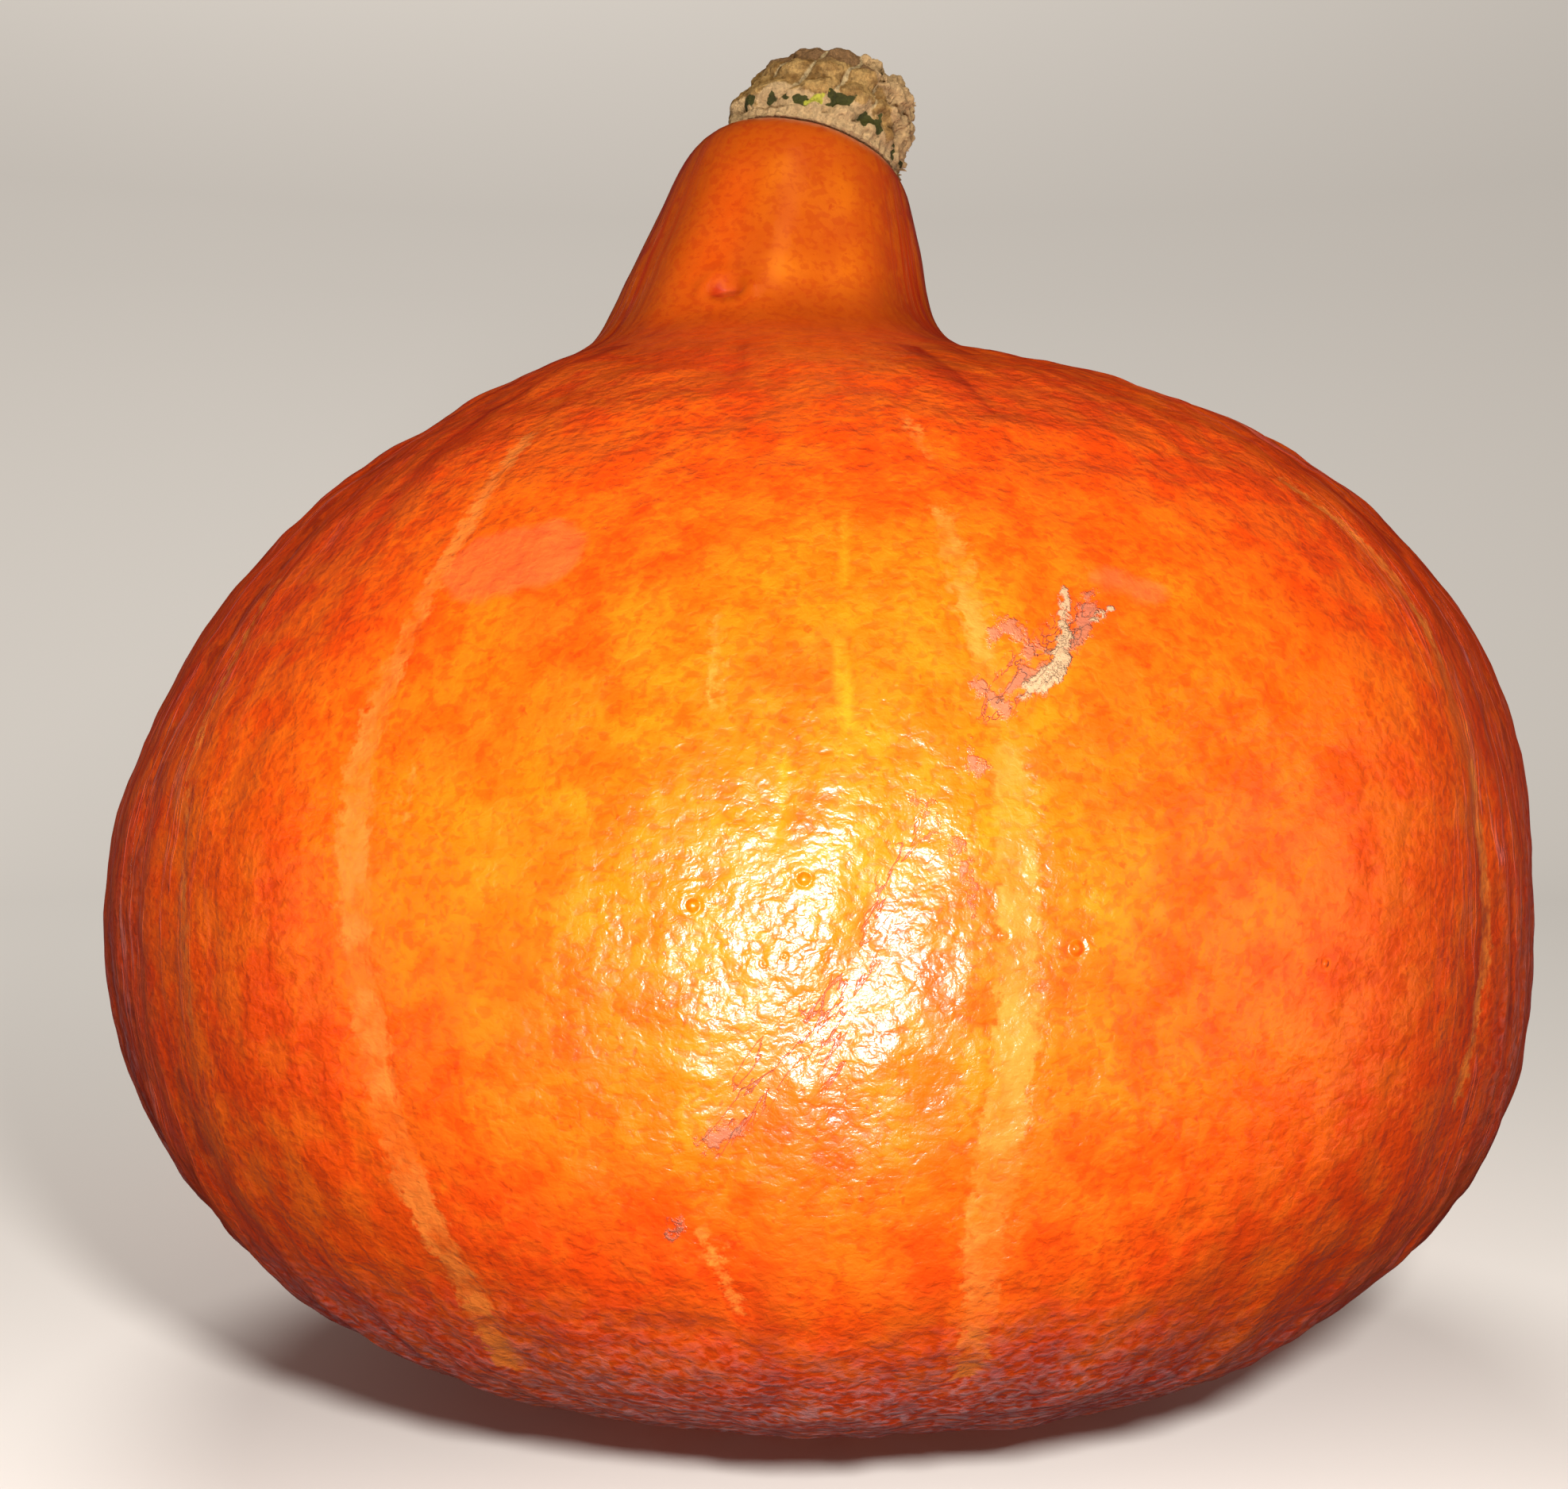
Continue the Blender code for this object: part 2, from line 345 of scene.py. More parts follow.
@dataclass(frozen=True)
class WaxyRind:
    """Ripe squash rind: hard orange skin under its own thin natural wax.

    The wax gives small sharp glints over a satin gloss, and the leathery skin under
    it breaks them up. Plant wax has an IOR of about 1.45.
    """

    deep: str = "e24402"        # carotene orange where the skin is thick
    bright: str = "f26e04"      # yellower orange: painted light where the front faces the key light, and random patches
    furrow_and_shade: str = "a21c04"      # dark red: pigment in the furrows, and painted shade at the limbs, low rim, shoulder, neck's sides, neck's crease and dimple
    neck: str = "b84a04"
    glow: str = "d87008"        # painted highlight: a yellower streak down the front of the neck, where the key light falls
    stripe: str = "ec7a2a"      # paler salmon seams between the carpels
    blush: str = "ec6030"
    resin: str = "f08a10"
    dust_and_sheen_tint: str = "c8a0a4"        # grey-pink wax bloom, and painted sheen along the low rim and the limbs; also the sheen's tint
    cork: str = "b08a64"        # healed skin is plain cork, with no wax
    scab: str = "8a5a42"
    slit: str = "7a4632"        # thin splits that healed dark
    ior: float = 1.45
    specular: float = 0.45
    roughness: float = 0.35
    cork_roughness: float = 0.85
    wax: float = 0.4            # how much of a clear coat the wax makes
    wax_roughness: float = 0.22
    bloom_sheen: float = 0.06
    bloom_roughness: float = 0.35
    blotch_mm: float = 14.0     # sizes of the patterns, crest to crest
    coarse_mm: float = 5.0
    swell_mm: float = 3.0
    grit_mm: float = 1.3
    split_mm: float = 1.25
    wrinkle_mm: float = 0.9
    pore_mm: float = 0.8
    split_lean: float = -35.0   # degrees that the splits lean, as the skin stretched
    split_draw: float = 0.2     # how much they are drawn out along themselves
    wrinkle_draw: Triple = (0.8, 0.8, 1.0)
    streak_lumps: tuple[float, float] = (14.0, 22.0)    # lumps per radian round, and per metre up
    fibre_lumps: tuple[float, float] = (30.0, 26.0)

    def places(self, tree: NodeTree) -> Sockets:
        """Coordinates that the patterns are laid out in.

        Args:
            tree: The material's node tree.

        Returns:
            A socket for each kind of coordinates: plain ones in metres, and stretched ones.
        """
        add = partial(add_node, tree)
        spot = add("TexCoord", {}, "Object")
        axes = add("SeparateXYZ", {0: spot}).node.outputs
        flat = add("CombineXYZ", {0: axes[0], 1: axes[1]})
        facing = add("VectorMath", {0: flat}, operation="NORMALIZE")
        lift = add("CombineXYZ", {2: axes[2]})
        turned = {"Vector": spot, "Angle": math.radians(self.split_lean)}
        lie = add("VectorRotate", turned, rotation_type="Y_AXIS")
        places = {
            "spot": spot,
            "squat": add("VectorMath", {0: spot, 1: self.wrinkle_draw}, operation="MULTIPLY"),
            "slanted": add("VectorMath", {0: lie, 1: (1.0, 1.0, self.split_draw)}, operation="MULTIPLY"),
        }
        # Lumps in these two are drawn out from pole to pole.
        for name, (across, along) in (("streaked", self.streak_lumps), ("stringy", self.fibre_lumps)):
            wide = add("VectorMath", {0: facing, "Scale": across}, operation="SCALE")
            tall = add("VectorMath", {0: lift, "Scale": along}, operation="SCALE")
            places[name] = add("VectorMath", {0: wide, 1: tall}, operation="ADD")
        return places

    def patterns(self, tree: NodeTree) -> Sockets:
        """Everything that the skin's colour and relief are mixed from.

        Args:
            tree: The material's node tree.

        Returns:
            Coordinates, noise patterns, shares made from them, and the mesh's layers.
        """
        add = partial(add_node, tree)
        skin = self.places(tree)
        one_unit = 1.0 / MM
        for name, where, size_mm, detail, rough, twirl in (
            ("blotch", "spot", self.blotch_mm, 4.0, 0.6, 0.0),
            ("coarse", "spot", self.coarse_mm, 3.0, 0.6, 0.0),
            ("swell", "spot", self.swell_mm, 2.0, 0.45, 0.0),
            ("grit", "spot", self.grit_mm, 4.0, 0.65, 0.0),
            ("pore", "spot", self.pore_mm, 2.0, 0.5, 0.0),
            ("wrinkle", "squat", self.wrinkle_mm, 3.0, 0.5, 0.35),
            ("rift", "slanted", self.split_mm, 3.0, 0.5, 0.0),
            ("streak", "streaked", one_unit, 3.0, 0.55, 0.0),
            ("fibre", "stringy", one_unit, 2.0, 0.5, 0.0),
        ):
            look = {"Scale": 1.0 / (size_mm * MM), "Detail": detail, "Roughness": rough, "Distortion": twirl}
            skin[name] = add("TexNoise", {"Vector": skin[where], **look}, "Fac")
        # Thin lines run where a pattern crosses one level.
        for name, source, level in (("from_split", "rift", 0.5), ("from_crest", "fibre", 0.47)):
            centred = add("Math", {0: skin[source], 1: level}, operation="SUBTRACT")
            skin[name] = add("Math", {0: centred}, operation="ABSOLUTE")
        # Each share goes smoothly from low to high while its pattern goes from start to end.
        for name, source, start, end, low, high in (
            ("patchy", "blotch", 0.35, 0.65, 0.35, 1.0),
            ("mottle", "coarse", 0.4, 0.62, -0.16, 0.24),
            ("thread", "streak", 0.44, 0.68, 0.0, 0.9),
            ("spots", "coarse", 0.5, 0.64, 0.0, 0.75),
            # Painted shade in the wrinkles' valleys.
            ("valley", "wrinkle", 0.52, 0.38, 0.0, 0.3),
            ("fleck", "grit", 0.58, 0.72, 0.0, 0.5),
            ("line", "fibre", 0.54, 0.66, 0.0, 0.75),
            ("flake", "wrinkle", 0.38, 0.7, 0.0, 0.62),
            ("crest", "from_crest", 0.022, 0.003, 0.0, 1.0),
            ("split", "from_split", 0.024, 0.006, 0.0, 1.0),
        ):
            limits = {"From Min": start, "From Max": end, "To Min": low, "To Max": high}
            skin[name] = add("MapRange", {"Value": skin[source], **limits}, interpolation_type="SMOOTHSTEP")
        for name in ("front_light_tone", "neck", "glow", "hollow", "rim", "dust_and_sheen", "leather"):
            skin[name] = add("Attribute", {}, "Fac", attribute_name=name)
        skin["crests"] = add("Math", {0: skin["crest"], 1: skin["rim"]}, operation="MULTIPLY")
        # Each mark's edge is moved by a pattern, by so many millimetres, and blends over a few tenths.
        for mark, source, bite, blend in (
            (Mark.STRIPE, "grit", 4.6, 1.1), (Mark.BLUSH, "coarse", 4.0, 1.4), (Mark.RESIN, "grit", 1.4, 1.2),
            (Mark.CRACK, "coarse", 2.0, 1.6), (Mark.SCAB, "grit", 4.6, 0.7), (Mark.CORK, "grit", 2.2, 0.3),
        ):
            skin[mark.value] = ragged(tree, mark.value, skin[source], bite, -0.5 * blend, 0.5 * blend)
        skin["slit"] = add("Math", {0: skin["crack"], 1: skin["split"]}, operation="MULTIPLY")
        return skin

    def colour(self, tree: NodeTree, skin: Sockets) -> Socket:
        """Skin colour: deep orange, yellower on the lit front as painted light, redder in furrows and painted
        shade, with painted sheen and its marks.

        Args:
            tree: The material's node tree.
            skin: The patterns by name.

        Returns:
            The colour's socket.
        """
        add = partial(add_node, tree)
        # Painted light: the front, which faces the key light, turns yellower, and so do random patches.
        front_light_share = add("Math", {0: skin["front_light_tone"], 1: skin["patchy"]}, operation="MULTIPLY")
        front_light_share = add("Math", {0: front_light_share, 1: skin["mottle"]}, operation="ADD", use_clamp=True)
        thread = add("Math", {0: skin["thread"], 1: skin["spots"]}, operation="MAXIMUM")
        # Painted shade: furrows, limbs, low rim, shoulder, neck sides, crease and dimple turn redder, and the
        # wrinkle valleys too.
        shaded = add("Math", {0: skin["hollow"], 1: thread}, operation="MULTIPLY")
        for name in ("valley", "fleck"):
            shaded = add("Math", {0: shaded, 1: skin[name]}, operation="MAXIMUM")
        # Painted sheen: pale grey-pink on the crests near the limbs.
        bloom_sheen = add("Math", {0: skin["crests"], 1: skin["patchy"]}, operation="MULTIPLY")
        pale = {"Value": skin["coarse"], "From Min": 0.6, "From Max": 0.44, "To Min": 0.2, "To Max": 0.9}
        stripe_share = add("MapRange", pale)
        colour = linear(self.deep)
        # The ground colours come first, then the marks, from the faintest to the strongest.
        for mask, weight, tint in (
            # Painted light and shade: the yellow front, the red shade, the dark lines near the limbs and the
            # grey-pink sheen on crests and rim.
            (front_light_share, 1.0, self.bright), (skin["neck"], 1.0, self.neck), (skin["glow"], 1.0, self.glow),
            (shaded, 1.0, self.furrow_and_shade), (skin["line"], skin["rim"], self.furrow_and_shade), (bloom_sheen, 0.34, self.dust_and_sheen_tint),
            (skin["dust_and_sheen"], skin["flake"], self.dust_and_sheen_tint), (skin["blush"], 0.5, self.blush),
            (skin["stripe"], stripe_share, self.stripe), (skin["resin"], 0.5, self.resin),
            (skin["crack"], 0.16, self.blush), (skin["slit"], 0.8, self.slit),
            (skin["scab"], 0.75, self.scab), (skin["cork"], 1.0, self.cork),
        ):
            share = add("Math", {0: mask, 1: weight}, operation="MULTIPLY")
            colour = add("Mix", {0: share, 6: colour, 7: linear(tint)}, 2, data_type="RGBA")
        return colour

    def gloss(self, tree: NodeTree, skin: Sockets) -> Socket:
        """Roughness: waxed skin is satin and a little uneven, cork and scabs are dull.

        Args:
            tree: The material's node tree.
            skin: The patterns by name.

        Returns:
            The roughness socket.
        """
        dull = add_node(tree, "Math", {0: skin["scab"], 1: skin["cork"]}, operation="MAXIMUM")
        smoothest, roughest = self.roughness - 0.06, self.roughness + 0.08
        limits = {"From Min": 0.3, "From Max": 0.7, "To Min": smoothest, "To Max": roughest}
        satin = add_node(tree, "MapRange", {"Value": skin["coarse"], **limits})
        return add_node(tree, "Mix", {0: dull, 2: satin, 3: self.cork_roughness}, data_type="FLOAT")

    def relief(self, tree: NodeTree, skin: Sockets, warts: list[tuple[Vector, float]]) -> Socket:
        """Relief too fine for the mesh: wrinkles, pores, warts and the edges of scars.

        Args:
            tree: The material's node tree.
            skin: The patterns by name.
            warts: Centres and sizes of the small warts.

        Returns:
            The bent normal's socket.
        """
        add = partial(add_node, tree)
        height = add("Math", {0: skin["wrinkle"], 1: skin["leather"]}, operation="MULTIPLY")
        swells = add("Math", {0: skin["swell"], 1: skin["leather"]}, operation="MULTIPLY")
        scabs = add("Math", {0: skin["scab"], 1: skin["grit"]}, operation="MULTIPLY")
        corks = add("Math", {0: skin["cork"], 1: skin["grit"]}, operation="MULTIPLY")
        for pattern, rise in (
            (swells, 1.7), (skin["pore"], 0.05), (skin["crests"], 0.2), (scabs, 0.24), (corks, 0.36),
            (skin["slit"], -0.15),
        ):
            height = add("Math", {0: pattern, 1: rise, 2: height}, operation="MULTIPLY_ADD")
        # A wart is a small bead in a shallow dish: outer and inner reach, and rise, in millimetres.
        for wart, size in warts:
            away = add("VectorMath", {0: skin["spot"], 1: wart}, "Value", operation="DISTANCE")
            for outer, inner, rise in ((1.15, 0.6, -0.16), (0.75, 0.15, 0.42)):
                limits = {"From Min": outer * size * MM, "From Max": inner * size * MM, "To Max": rise * size}
                part = add("MapRange", {"Value": away, **limits}, interpolation_type="SMOOTHSTEP")
                height = add("Math", {0: height, 1: part}, operation="ADD")
        return add("Bump", {"Strength": 1.0, "Distance": MM, "Height": height})

    def make(self, warts: list[tuple[Vector, float]]) -> bpy.types.Material:
        """Build the rind's material.

        Args:
            warts: Centres and sizes of the small warts.

        Returns:
            The material.
        """
        material = bpy.data.materials.new("waxy_squash_rind")
        material.use_nodes = True
        tree = material.node_tree
        shader = tree.nodes["Principled BSDF"]
        for name, value in (
            ("IOR", self.ior), ("Specular IOR Level", self.specular), ("Coat Weight", self.wax),
            ("Coat Roughness", self.wax_roughness), ("Coat IOR", self.ior), ("Sheen Weight", self.bloom_sheen),
            ("Sheen Roughness", self.bloom_roughness), ("Sheen Tint", linear(self.dust_and_sheen_tint)),
        ):
            shader.inputs[name].default_value = value
        skin = self.patterns(tree)
        bump = self.relief(tree, skin, warts)
        for name, socket in (
            ("Base Color", self.colour(tree, skin)), ("Roughness", self.gloss(tree, skin)),
            ("Normal", bump), ("Coat Normal", bump),
        ):
            tree.links.new(socket, shader.inputs[name])
        return material


class SkinPlaces:
    """Where the points of the fruit's skin lie, in millimetres, and what grew there."""

    def __init__(self, rings: np.ndarray, turns: np.ndarray, top: float) -> None:
        """Work out the zones and the grown patterns.

        Args:
            rings: Points by ring, place round the ring, and x, y, z, in metres.
            turns: Angle of each place round from the front in radians.
            top: Height of the seat under the stem in millimetres.
        """
        self.mm = rings.reshape(-1, 3) / MM
        self.turn = np.tile(turns, len(rings))
        self.height = self.mm[:, 2]
        self.radius = np.hypot(self.mm[:, 0], self.mm[:, 1])
        self.top = top
        self.behind = ease(1.9, 2.6, np.abs(self.turn))
        self.side = ease(0.45, 1.0, np.abs(self.turn)) * (1.0 - 0.5 * self.behind)
        self.neck = ease(top - 36.0, top - 26.0, self.height) * ease(40.0, 24.0, self.radius)
        self.shoulder = ease(96.0, 112.0, self.height) * (1.0 - self.neck)
        self.low_rim = ease(46.0, 14.0, self.height)
        self.foot = ease(34.0, 18.0, self.radius) * ease(30.0, 6.0, self.height)
        self.front = np.exp(-(self.turn / 0.75) ** 2) * np.exp(-((self.height - 60.0) / 34.0) ** 2)
        # Furrows and threads are drawn out from pole to pole, and folds lie across.
        way = np.stack([np.sin(self.turn), -np.cos(self.turn)], axis=1)
        squat = self.mm / np.array([11.0, 11.0, 4.6])
        self.furrows = grown_noise(np.column_stack([way * 11.0, self.height / 55.0]), 2)
        self.threads = grown_noise(np.column_stack([way * 24.0, self.height / 30.0]) + 40.0, 2)
        self.broad = grown_noise(self.mm / 34.0 + 7.0, 2)
        self.lumps = grown_noise(self.mm / 7.5 + 19.0, 2)
        self.dimples = grown_noise(self.mm / 3.4 + 51.0, 2)
        self.folds = grown_noise(squat + 3.0, 2)


@dataclass
class Fruit:
    """The grown fruit: rings of skin laid on the solid, then sculpted."""

    node: str = "fruit"
    levels: int = 270
    around: int = 360
    trial_rings: int = 900      # rays that are tried up the outline to space the rings evenly
    crowding: float = 0.35      # how much closer the points are at the front
    soften_passes: int = 12
    finish: WaxyRind = field(default_factory=WaxyRind)
    traces: dict[Mark, tuple[Trace, ...]] = field(default_factory=lambda: {
        # Pale seams, one over each carpel, with short pieces between them.
        Mark.STRIPE: (
            Trace(1.1, ((-30.1, 112.7), (-29.5, 105.7), (-29.7, 98.7), (-30, 93), (-30.4, 87)), 0.8),
            Trace(1.9, ((-30.4, 88), (-30.8, 79.4), (-29.6, 66.6), (-27.8, 50.7), (-25.8, 34.8),
                        (-24.8, 27.3), (-25.7, 18.3)), 0.75),
            Trace(0.8, ((8.4, 113), (9.6, 109))),
            Trace(1.3, ((9.4, 102.3), (9.9, 96.8), (10.5, 91), (11.2, 83))),
            Trace(2.0, ((11.5, 79.4), (11.9, 67.8), (11.7, 55.1), (10.9, 44.5), (10.3, 34.8),
                        (11.3, 20.6)), 0.7),
            Trace(1.4, ((46, 108), (51, 99), (52, 84.8), (53.4, 73.7), (54, 58.3), (50.5, 44))),
            Trace(1.0, ((-53, 98), (-50.8, 82), (-47.5, 61.3), (-47, 52))),
            Trace(0.8, ((-6.5, 92), (-6.1, 83.7))),
            Trace(0.8, ((-6.9, 36.9), (-5, 28.2))),
            Trace(0.9, ((-26.4, 78.3), (-26.6, 73.7))),
            Trace(1.7, ((84, 112), (88, 90), (91, 66), (90, 40), (86, 22))),
            Trace(1.9, ((124, 114), (127, 92), (126, 70), (129, 44), (127, 24))),
            Trace(1.5, ((165, 110), (162, 88), (164, 60), (160, 34))),
            Trace(1.9, ((-158, 115), (-161, 96), (-160, 72), (-156, 46), (-158, 24))),
            Trace(1.6, ((-122, 112), (-120, 90), (-124, 62), (-121, 38), (-118, 22))),
            Trace(1.8, ((-84, 110), (-87, 88), (-85, 64), (-86, 40), (-82, 24))),
        ),
        # Where the fruit rubbed while it grew, and a painted highlight in the neck's dimple.
        Mark.BLUSH: (
            Trace(4.3, ((-26, 98), (-21, 99)), 1.0),
            # Painted highlight in the neck's dimple.
            Trace(0.3, ((-19.4, 134.9), (-17.6, 135)), 1.0),
            Trace(1.6, ((21, 96), (23.5, 94.5)), 1.0),
        ),
        # Raised cork where the skin broke and healed.
        Mark.CORK: (
            Trace(1.1, ((17, 94.9), (16.9, 92))),
            Trace(1.0, ((16.6, 91), (15.7, 87.9), (14.4, 86.2), (13, 85.4))),
            Trace(0.6, ((18.8, 92), (20.3, 93.2))),
        ),
        # Thin scabs round the cork and down the scar.
        Mark.SCAB: (
            Trace(0.7, ((11, 90.2), (12.6, 91.6), (14, 90), (13.6, 87.6))),
            Trace(0.6, ((10, 86.4), (11.2, 84.8), (11.8, 83.2))),
            Trace(0.8, ((8.9, 80), (9.9, 78.3))),
            Trace(0.45, ((5.8, 76.2), (7.4, 73), (8.6, 70.2), (9, 66.5))),
            Trace(0.5, ((-6.6, 45.2), (-5.2, 46.8), (-4.2, 47))),
            Trace(0.3, ((-9.1, 36), (-8.4, 37.6))),
            Trace(0.9, ((19, 94.5), (17.6, 91), (15, 87.5), (12.4, 86))),
        ),
        # Stretched skin with fine splits.
        Mark.CRACK: (
            Trace(2.2, ((18, 93), (14.5, 88.5), (11, 84))),
            Trace(2.0, ((2.6, 61), (0, 56.9), (-2.6, 53), (-4.4, 48.6), (-6.1, 45))),
            Trace(1.4, ((1.8, 60.2), (0.8, 55), (1.2, 50))),
            Trace(1.0, ((2.6, 61), (3.4, 65.5), (4.8, 70), (5.8, 74))),
        ),
        # Sap that dried in a groove.
        Mark.RESIN: (
            Trace(0.7, ((1.5, 90), (1.7, 86), (1.9, 82.7))),
            Trace(0.5, ((-1.9, 79.4), (-2.4, 71.4))),
            Trace(0.5, ((2.2, 102.3), (1.8, 95.5))),
            Trace(0.5, ((-24, 39.5), (-24, 39))),
        ),
    })
    wart_places: tuple[Triple, ...] = (   # degrees, height, share of full size
        (-7.1, 66.6, 1.0), (-0.7, 69.0, 1.0), (-3.0, 61.6, 0.55), (-1.8, 62.2, 0.55), (5.5, 63.9, 0.6),
        (8.2, 63.9, 0.6), (10.9, 63.9, 0.9), (12.8, 67.8, 0.6), (15.3, 62.6, 1.1), (33.0, 60.0, 0.7),
        (96.0, 70.0, 0.9), (141.0, 62.0, 1.0), (-101.0, 76.0, 0.8), (-140.0, 58.0, 1.0), (176.0, 81.0, 0.9),
    )
    dimple: tuple[float, float] = (-18.5, 135.0)
    dimple_form: Triple = (0.65, 1.0, 1.35)     # above 1 is narrower, below it wider

    def fan(self, rind: RindMap) -> list[tuple[Vector, float, Vector]]:
        """Starts, elevations and poles of the rays that lay out the rings.

        The rays swing up from straight down about the belly's middle, then climb
        inside the neck and end along the seat's own normal.

        Args:
            rind: The fruit's solid surface.

        Returns:
            One start, elevation in radians and pole for each trial ring.
        """
        seat, pole = self.seat(rind)
        middle = Vector((0.0, 0.0, rind.belly))
        throat = Vector((-5.0 * MM, 0.0, seat.z - 26 * MM))
        crown = seat - pole * 11 * MM
        # Share of the way up, start, elevation in degrees, and how far the pole leans to the seat's.
        knots = (
            (0.0, middle, -90.0, 0.0), (0.68, middle, 46.0, 0.0), (0.84, throat, 12.0, 0.0),
            (0.93, crown, 18.0, 1.0), (1.0, crown, 90.0, 1.0),
        )
        rays = []
        for share in np.linspace(0.0, 1.0, self.trial_rings):
            for (t0, p0, e0, w0), (t1, p1, e1, w1) in zip(knots, knots[1:]):
                if share <= t1:
                    part = (share - t0) / (t1 - t0)
                    up = Vector((0.0, 0.0, 1.0)).lerp(pole, w0 + (w1 - w0) * part).normalized()
                    rays.append((p0.lerp(p1, part), math.radians(e0 + (e1 - e0) * part), up))
                    break
        return rays

    def seat(self, rind: RindMap) -> tuple[Vector, Vector]:
        """Centre and normal of the flat seat under the stem.

        Args:
            rind: The fruit's solid surface.

        Returns:
            The seat's centre and its upward normal.
        """
        low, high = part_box("stem")
        start = Vector(((low[0] + high[0]) / 2.0 - 0.7 * MM, 0.0, low[2] - 8.0 * MM))
        return rind.hit(start, Vector((0.0, 0.0, 1.0)))

    def ring(self, rind: RindMap, ray: tuple[Vector, float, Vector], turns: np.ndarray) -> np.ndarray:
        """Skin points of one ring.

        Args:
            rind: The fruit's solid surface.
            ray: Start, elevation and pole of the ring's rays.
            turns: Angles round from the front in radians.

        Returns:
            Rows of x, y, z.
        """
        start, rise, pole = ray
        tilt = Vector((0.0, 0.0, 1.0)).rotation_difference(pole)
        points = []
        for turn in turns:
            level = math.cos(rise)
            way = Vector((level * math.sin(turn), -level * math.cos(turn), math.sin(rise)))
            points.append(rind.hit(start, tilt @ way)[0])
        return np.array(points)

    def lay_rings(self, rind: RindMap) -> tuple[np.ndarray, np.ndarray]:
        """Lay evenly spaced rings on the solid surface, anticlockwise seen from above.

        Args:
            rind: The fruit's solid surface.

        Returns:
            The softened rings and the angle of each place round them.
        """
        rays = self.fan(rind)
        trial_turns = np.linspace(0.0, 2.0 * math.pi, 8, endpoint=False)
        trial = np.array([self.ring(rind, ray, trial_turns) for ray in rays])
        steps = np.linalg.norm(np.diff(trial, axis=0), axis=2).mean(axis=1)
        run = np.concatenate([[0.0], np.cumsum(steps)])
        wanted = np.linspace(0.0, run[-1], self.levels + 2)[1:-1]
        picks = np.interp(wanted, run, np.arange(len(rays)))
        even = np.linspace(-math.pi, math.pi, self.around, endpoint=False)
        turns = even - self.crowding * np.sin(even)
        rings = []
        for pick in picks:
            whole = min(int(pick), len(rays) - 2)
            part = pick - whole
            start = rays[whole][0].lerp(rays[whole + 1][0], part)
            rise = rays[whole][1] + (rays[whole + 1][1] - rays[whole][1]) * part
            pole = rays[whole][2].lerp(rays[whole + 1][2], part).normalized()
            rings.append(self.ring(rind, (start, rise, pole), turns))
        return soften(np.array(rings), self.soften_passes), turns

    def build(self, rind: RindMap) -> bpy.types.Object:
        """Build the skin, its relief and the layers that its material reads.

        Args:
            rind: The fruit's solid surface.

        Returns:
            The fruit's visible mesh.
        """
        rings, turns = self.lay_rings(rind)
        skin = SkinPlaces(rings, turns, self.seat(rind)[0].z / MM)
        reach = {kind: reach_of(self.traces[kind], rind, skin.mm * MM) for kind in Mark}
        warts = [(rind.at(d, h * MM), size) for d, h, size in self.wart_places]
        dent = np.array(rind.at(self.dimple[0], self.dimple[1] * MM, NECK_AXIS)) / MM
        from_dent = np.linalg.norm((skin.mm - dent) * self.dimple_form, axis=1)
        rise = self.relief(skin, reach, warts, from_dent)
        sculpted = skin.mm * MM + ring_normals(rings).reshape(-1, 3) * rise[:, None] * MM
        sculpted[:, 2] = np.maximum(sculpted[:, 2], 0.0)
        piece = mesh_from_rings("rind_skin", sculpted.reshape(rings.shape))
        for kind, values in reach.items():
            store(piece, kind.value, values)
        for name, values in self.layers(skin, from_dent).items():
            store(piece, name, values)
        piece.data.materials.append(self.finish.make(warts))
        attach(piece, "root")
        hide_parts(self.node)
        LOG.info("fruit: %d faces", len(piece.data.polygons))
        return piece

    def relief(
        self, skin: SkinPlaces, reach: dict[Mark, np.ndarray], warts: list[tuple[Vector, float]],
        from_dent: np.ndarray,
    ) -> np.ndarray:
        """How far the skin stands out from the smooth solid, in millimetres.

        Args:
            skin: Places and grown patterns of the skin's points.
            reach: How far inside each kind of mark the points lie.
            warts: Centres and sizes of the small warts.
            from_dent: Distance from the middle of the neck's dimple.

        Returns:
            One rise for each point.
        """
        rise = np.zeros(len(skin.mm))
        # How far the neck flattens each pattern, its depth everywhere, and what is added to that
        # at the sides, the low rim, the front and the shoulder.
        for pattern, flattened, depth, side, low_rim, front, shoulder in (
            (skin.broad, 0.62, 0.55, 0.0, 0.0, 0.0, 0.0),
            (skin.furrows, 0.97, 0.12, 0.4, 0.25, 0.0, 0.0),
            (skin.threads, 1.0, 0.03, 0.2, 0.12, 0.0, 0.0),
            (skin.lumps, 0.62, 0.21, 0.0, 0.14, 0.1, 0.0),
            (skin.dimples, 0.62, 0.1, 0.0, 0.1, 0.03, 0.0),
            (skin.folds, 0.62, 0.06, 0.0, 0.12, 0.0, 0.26),
        ):
            depths = depth + side * skin.side + low_rim * skin.low_rim
            depths += front * skin.front + shoulder * skin.shoulder
            rise += pattern * depths * (1.0 - flattened * skin.neck)
        # Each kind of mark stands out or sinks in, from an outer to an inner reach.
        for kind, height, outer, inner in (
            (Mark.STRIPE, -0.14, -1.0, 1.0), (Mark.CORK, 0.2, -0.8, 0.6), (Mark.SCAB, 0.1, -1.0, 0.6),
            (Mark.CRACK, -0.6, -4.5, 2.0), (Mark.RESIN, -0.2, -1.0, 0.5),
        ):
            rise += height * ease(outer, inner, reach[kind])
        for wart, size in warts:
            away = np.linalg.norm(skin.mm * MM - np.array(wart), axis=1) / MM
            rise += 0.2 * size * ease(1.6, 0.2, away)
        lip = np.exp(-((from_dent - 2.4) / 0.6) ** 2)
        rise += 0.4 * lip - 1.5 * ease(2.0, 0.5, from_dent)
        return rise * (1.0 - skin.foot)

